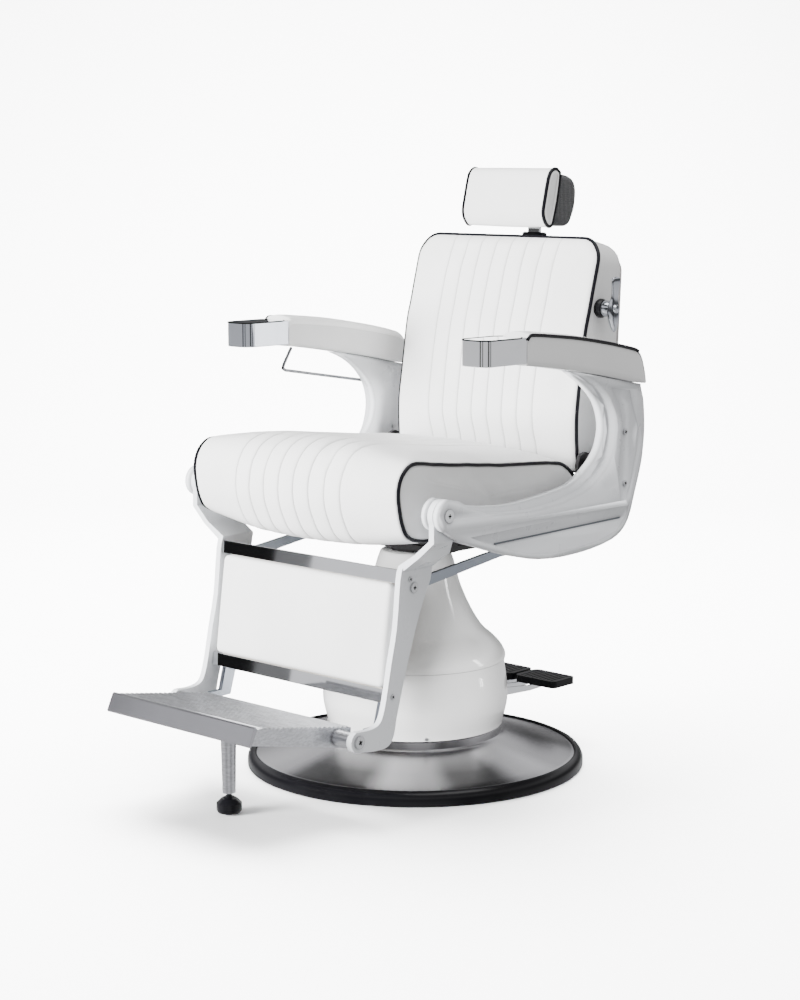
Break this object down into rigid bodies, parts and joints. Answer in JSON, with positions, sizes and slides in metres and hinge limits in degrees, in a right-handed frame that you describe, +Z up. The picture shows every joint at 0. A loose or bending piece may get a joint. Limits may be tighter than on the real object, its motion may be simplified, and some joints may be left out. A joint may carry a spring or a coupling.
{
  "type": "hydraulic barber chair",
  "caption": "Pump-lift swivel barber chair with reclining back linked to the leg rest, folding footplate, padded armrests and an adjustable headrest.",
  "frame": {"origin": "floor centre of the round base", "axes": "+Z up, the chair faces -Y, the sitter's left is +X"},
  "size_m": [0.666, 0.9591, 1.121],
  "materials": {
    "satin_steel": "satin pressed steel",
    "black_rubber": "smooth black rubber",
    "gloss_white": "gloss white enamel",
    "cast_white": "satin white powder coat on castings",
    "chrome": "polished chrome",
    "bare_steel": "plain rolled steel",
    "zinc_fastener": "zinc-plated fasteners",
    "cast_aluminium": "fine sand-cast aluminium",
    "bright_aluminium": "polished aluminium trim",
    "black_paint": "black stove paint",
    "plywood": "birch plywood",
    "white_vinyl": "fine-grained white upholstery vinyl",
    "grey_mesh": "dark grey spacer mesh",
    "black_plastic": "moulded black plastic",
    "pedal_rubber": "ribbed black rubber treads on steel bars"
  },
  "bodies": {
    "base": {"floor_plate": "satin_steel", "floor_ring": "black_rubber", "ram_cylinder": "bare_steel", "gland_ring": "bare_steel", "base_bolts": "zinc_fastener", "pump_block": "cast_aluminium", "pedal_shaft": "bare_steel", "pump_housing": "gloss_white", "housing_screws": "zinc_fastener"},
    "ram": {"ram_piston": "chrome", "thrust_bearing": "bare_steel"},
    "chair": {"swivel_head": "black_paint", "head_bolts": "zinc_fastener", "bell_cover": "gloss_white", "bell_screws": "zinc_fastener", "seat_frame": "black_paint", "seat_board": "plywood", "seat_cushion": "white_vinyl", "side_frame_left": "cast_white", "side_frame_right": "cast_white", "frame_screws": "zinc_fastener", "leg_pivot_pins": "zinc_fastener", "back_pivot_pins": "black_plastic", "arm_bars": "bare_steel", "arm_pad_left": "white_vinyl", "arm_pad_right": "white_vinyl", "arm_box_left": "chrome", "arm_box_right": "chrome", "towel_bar": "chrome"},
    "backrest": {"back_frame": "black_paint", "back_cushion": "white_vinyl", "back_board": "plywood", "back_panel": "white_vinyl", "neck_collar": "black_plastic", "lever_boss": "black_plastic", "link_bolts_rear": "zinc_fastener"},
    "release_lever": {"recline_lever": "chrome"},
    "neck": {"neck_bar": "chrome"},
    "headrest": {"head_plate": "bare_steel", "head_cushion": "white_vinyl", "head_rear_pad": "grey_mesh"},
    "leg_rest": {"leg_arm_left": "cast_white", "leg_arm_right": "cast_white", "leg_rail_upper": "chrome", "leg_rail_lower": "chrome", "calf_board": "plywood", "calf_panel": "white_vinyl", "leg_struts": "bare_steel", "leg_screws": "zinc_fastener", "link_bolts_front": "zinc_fastener", "foot_pivot_bolts": "zinc_fastener"},
    "links": {"link_bar_left": "bare_steel", "link_bar_right": "bare_steel"},
    "foot_rest": {"footplate": "cast_aluminium", "front_lip": "bright_aluminium", "support_leg": "cast_aluminium"},
    "foot_glide": {"leveling_foot": "black_rubber"},
    "pump_treadle": {"pump_pedal": "pedal_rubber"},
    "release_treadle": {"release_pedal": "pedal_rubber"},
    "plunger": {"pump_plunger": "bare_steel"}
  },
  "joints": [
    {"name": "seat_lift", "type": "slide", "parent": "base", "child": "ram", "axis": [0, 0, 1], "range_m": [0, 0.17]},
    {"name": "seat_swivel", "type": "hinge", "parent": "ram", "child": "chair", "pos_m": [0, 0, 0.41], "axis": [0, 0, 1], "continuous": true},
    {"name": "back_recline", "type": "hinge", "parent": "chair", "child": "backrest", "pos_m": [0, 0.212, 0.573], "axis": [-1, 0, 0], "range_deg": [0, 50]},
    {"name": "release_lever_turn", "type": "hinge", "parent": "backrest", "child": "release_lever", "pos_m": [0.24, 0.262, 0.862], "axis": [-1, 0, 0], "range_deg": [0, 30]},
    {"name": "neck_slide", "type": "slide", "parent": "backrest", "child": "neck", "axis": [0, 0.0591, 0.9983], "range_m": [0, 0.1]},
    {"name": "headrest_tilt", "type": "hinge", "parent": "neck", "child": "headrest", "pos_m": [0, 0.345, 1.056], "axis": [-1, 0, 0], "range_deg": [-8, 40]},
    {"name": "leg_rest_swing", "type": "hinge", "parent": "chair", "child": "leg_rest", "pos_m": [0, -0.261, 0.539], "axis": [-1, 0, 0], "range_deg": [0, 50]},
    {"name": "link_swing", "type": "hinge", "parent": "leg_rest", "child": "links", "pos_m": [0, -0.257, 0.404], "axis": [-1, 0, 0], "range_deg": [-50, 0]},
    {"name": "footplate_fold", "type": "hinge", "parent": "leg_rest", "child": "foot_rest", "pos_m": [0, -0.394, 0.154], "axis": [-1, 0, 0], "range_deg": [0, 75]},
    {"name": "foot_glide_screw", "type": "slide", "parent": "foot_rest", "child": "foot_glide", "axis": [0, 0, 1], "range_m": [0, 0.006]},
    {"name": "pump_treadle_stroke", "type": "hinge", "parent": "base", "child": "pump_treadle", "pos_m": [0, 0.132, 0.112], "axis": [-1, 0, 0], "range_deg": [0, 12]},
    {"name": "release_treadle_stroke", "type": "hinge", "parent": "base", "child": "release_treadle", "pos_m": [0, 0.132, 0.112], "axis": [-1, 0, 0], "range_deg": [0, 12]},
    {"name": "plunger_stroke", "type": "slide", "parent": "base", "child": "plunger", "axis": [0, 0, 1], "range_m": [0, 0.0075]}
  ],
  "couplings": [
    {"joint": "leg_rest_swing", "follows": "back_recline", "ratio": 1},
    {"joint": "link_swing", "follows": "back_recline", "ratio": -1},
    {"joint": "plunger_stroke", "follows": "pump_treadle_stroke", "m_per_rad": 0.034}
  ]
}
